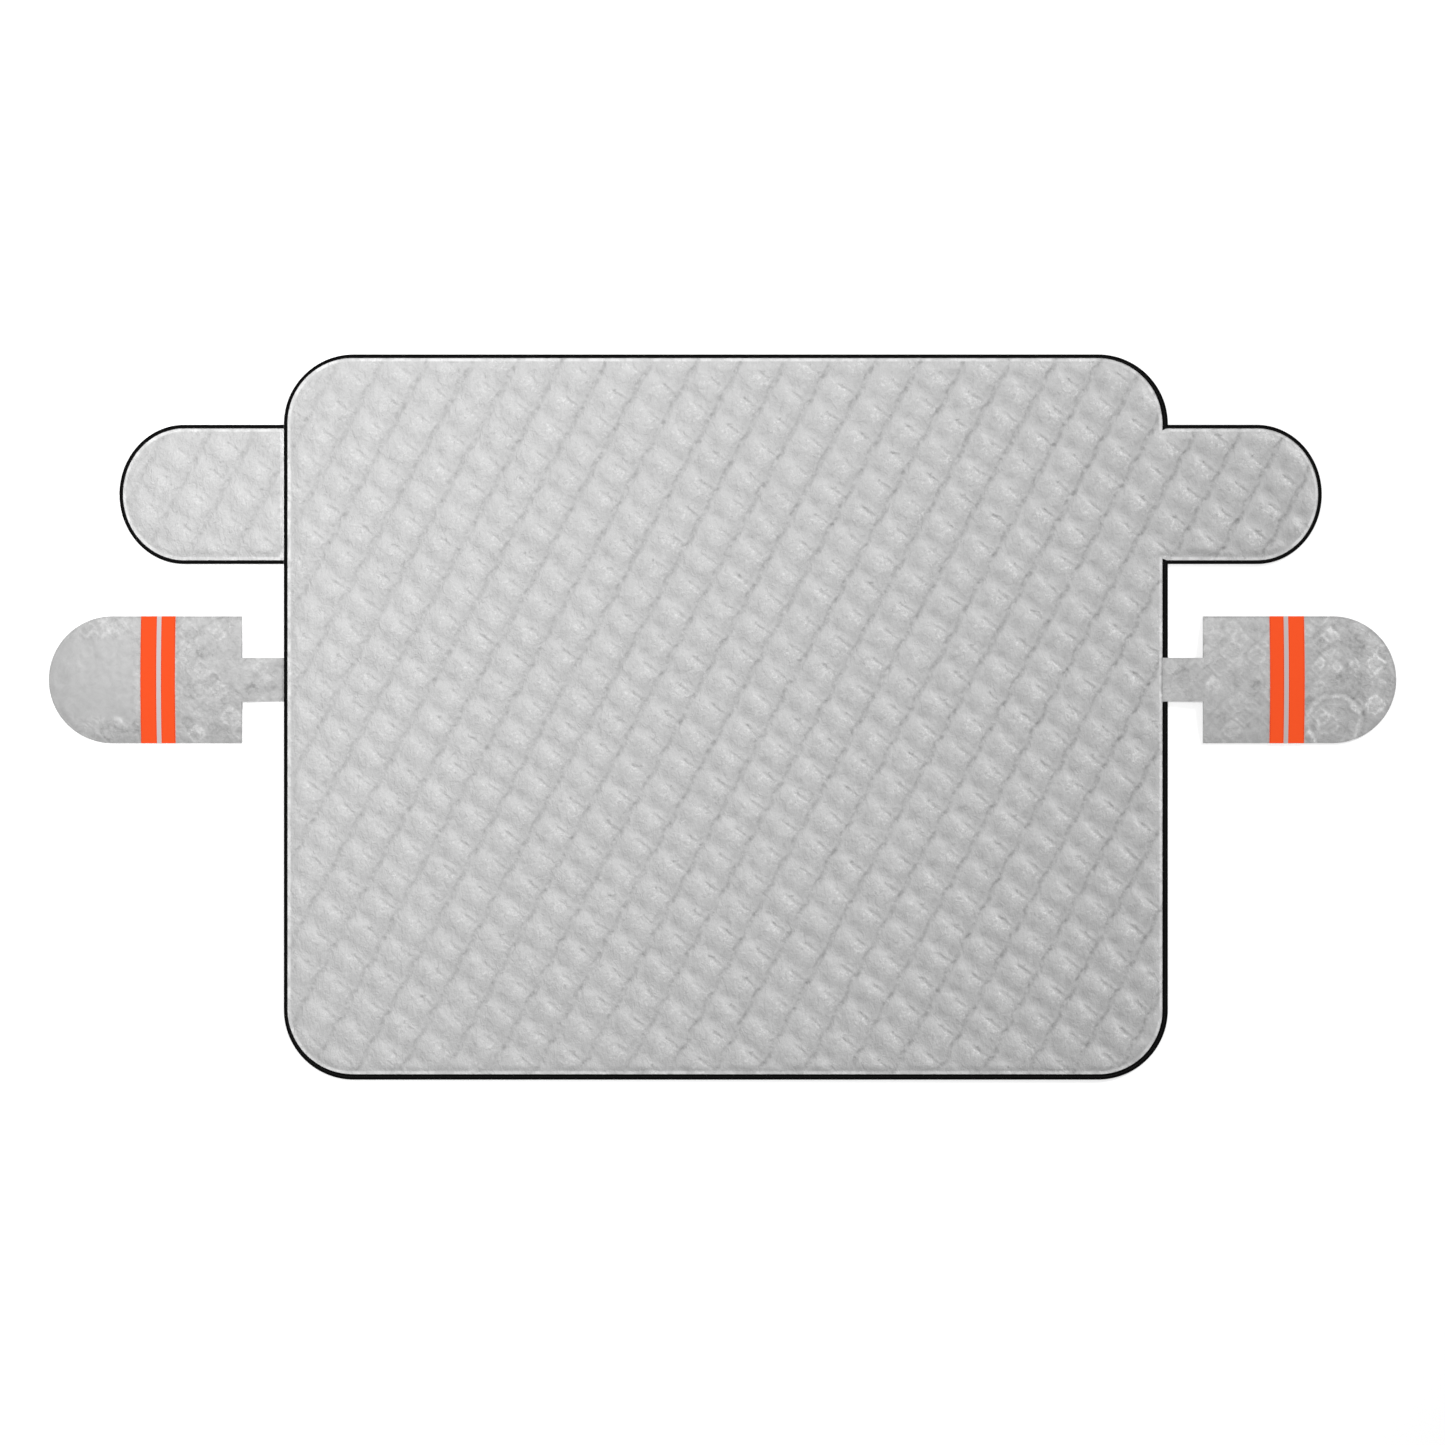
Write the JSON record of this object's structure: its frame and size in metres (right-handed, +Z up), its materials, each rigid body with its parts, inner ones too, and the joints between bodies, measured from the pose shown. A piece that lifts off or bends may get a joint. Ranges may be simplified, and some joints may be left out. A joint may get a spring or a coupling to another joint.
{
  "type": "windshield frost cover",
  "caption": "Quilted silver windshield frost cover lying flat, with a round-ended door flap and a strapped, orange-striped mirror pouch at each side.",
  "frame": {"origin": "on the ground under the middle of the cover's bounding box, with the cover lying flat and its silver face up", "axes": "+X across the car to the cover's right seen from above, +Y towards the top edge, near which the door flaps are, +Z up"},
  "size_m": [2.2414, 1.206, 0.0105],
  "materials": {
    "quilted_laminate": "silver-coated quilted laminate, soft satin",
    "silver_film": "crinkled silver-coated film, satin",
    "black_tape": "black woven edging tape, matte",
    "orange_tape": "fluorescent orange woven tape, matte",
    "silver_strip": "pale reflective strip, satin"
  },
  "bodies": {
    "root": {"main_panel": "quilted_laminate", "panel_binding": "black_tape", "left_flap": "quilted_laminate", "left_flap_binding": "black_tape", "left_mirror_cover_front": "silver_film", "left_mirror_cover_back": "silver_film", "left_mirror_orange_tape": "orange_tape", "left_mirror_silver_strip": "silver_strip", "right_mirror_cover_front": "silver_film", "right_mirror_cover_back": "silver_film", "right_mirror_orange_tape": "orange_tape", "right_mirror_silver_strip": "silver_strip"}
  },
  "joints": []
}
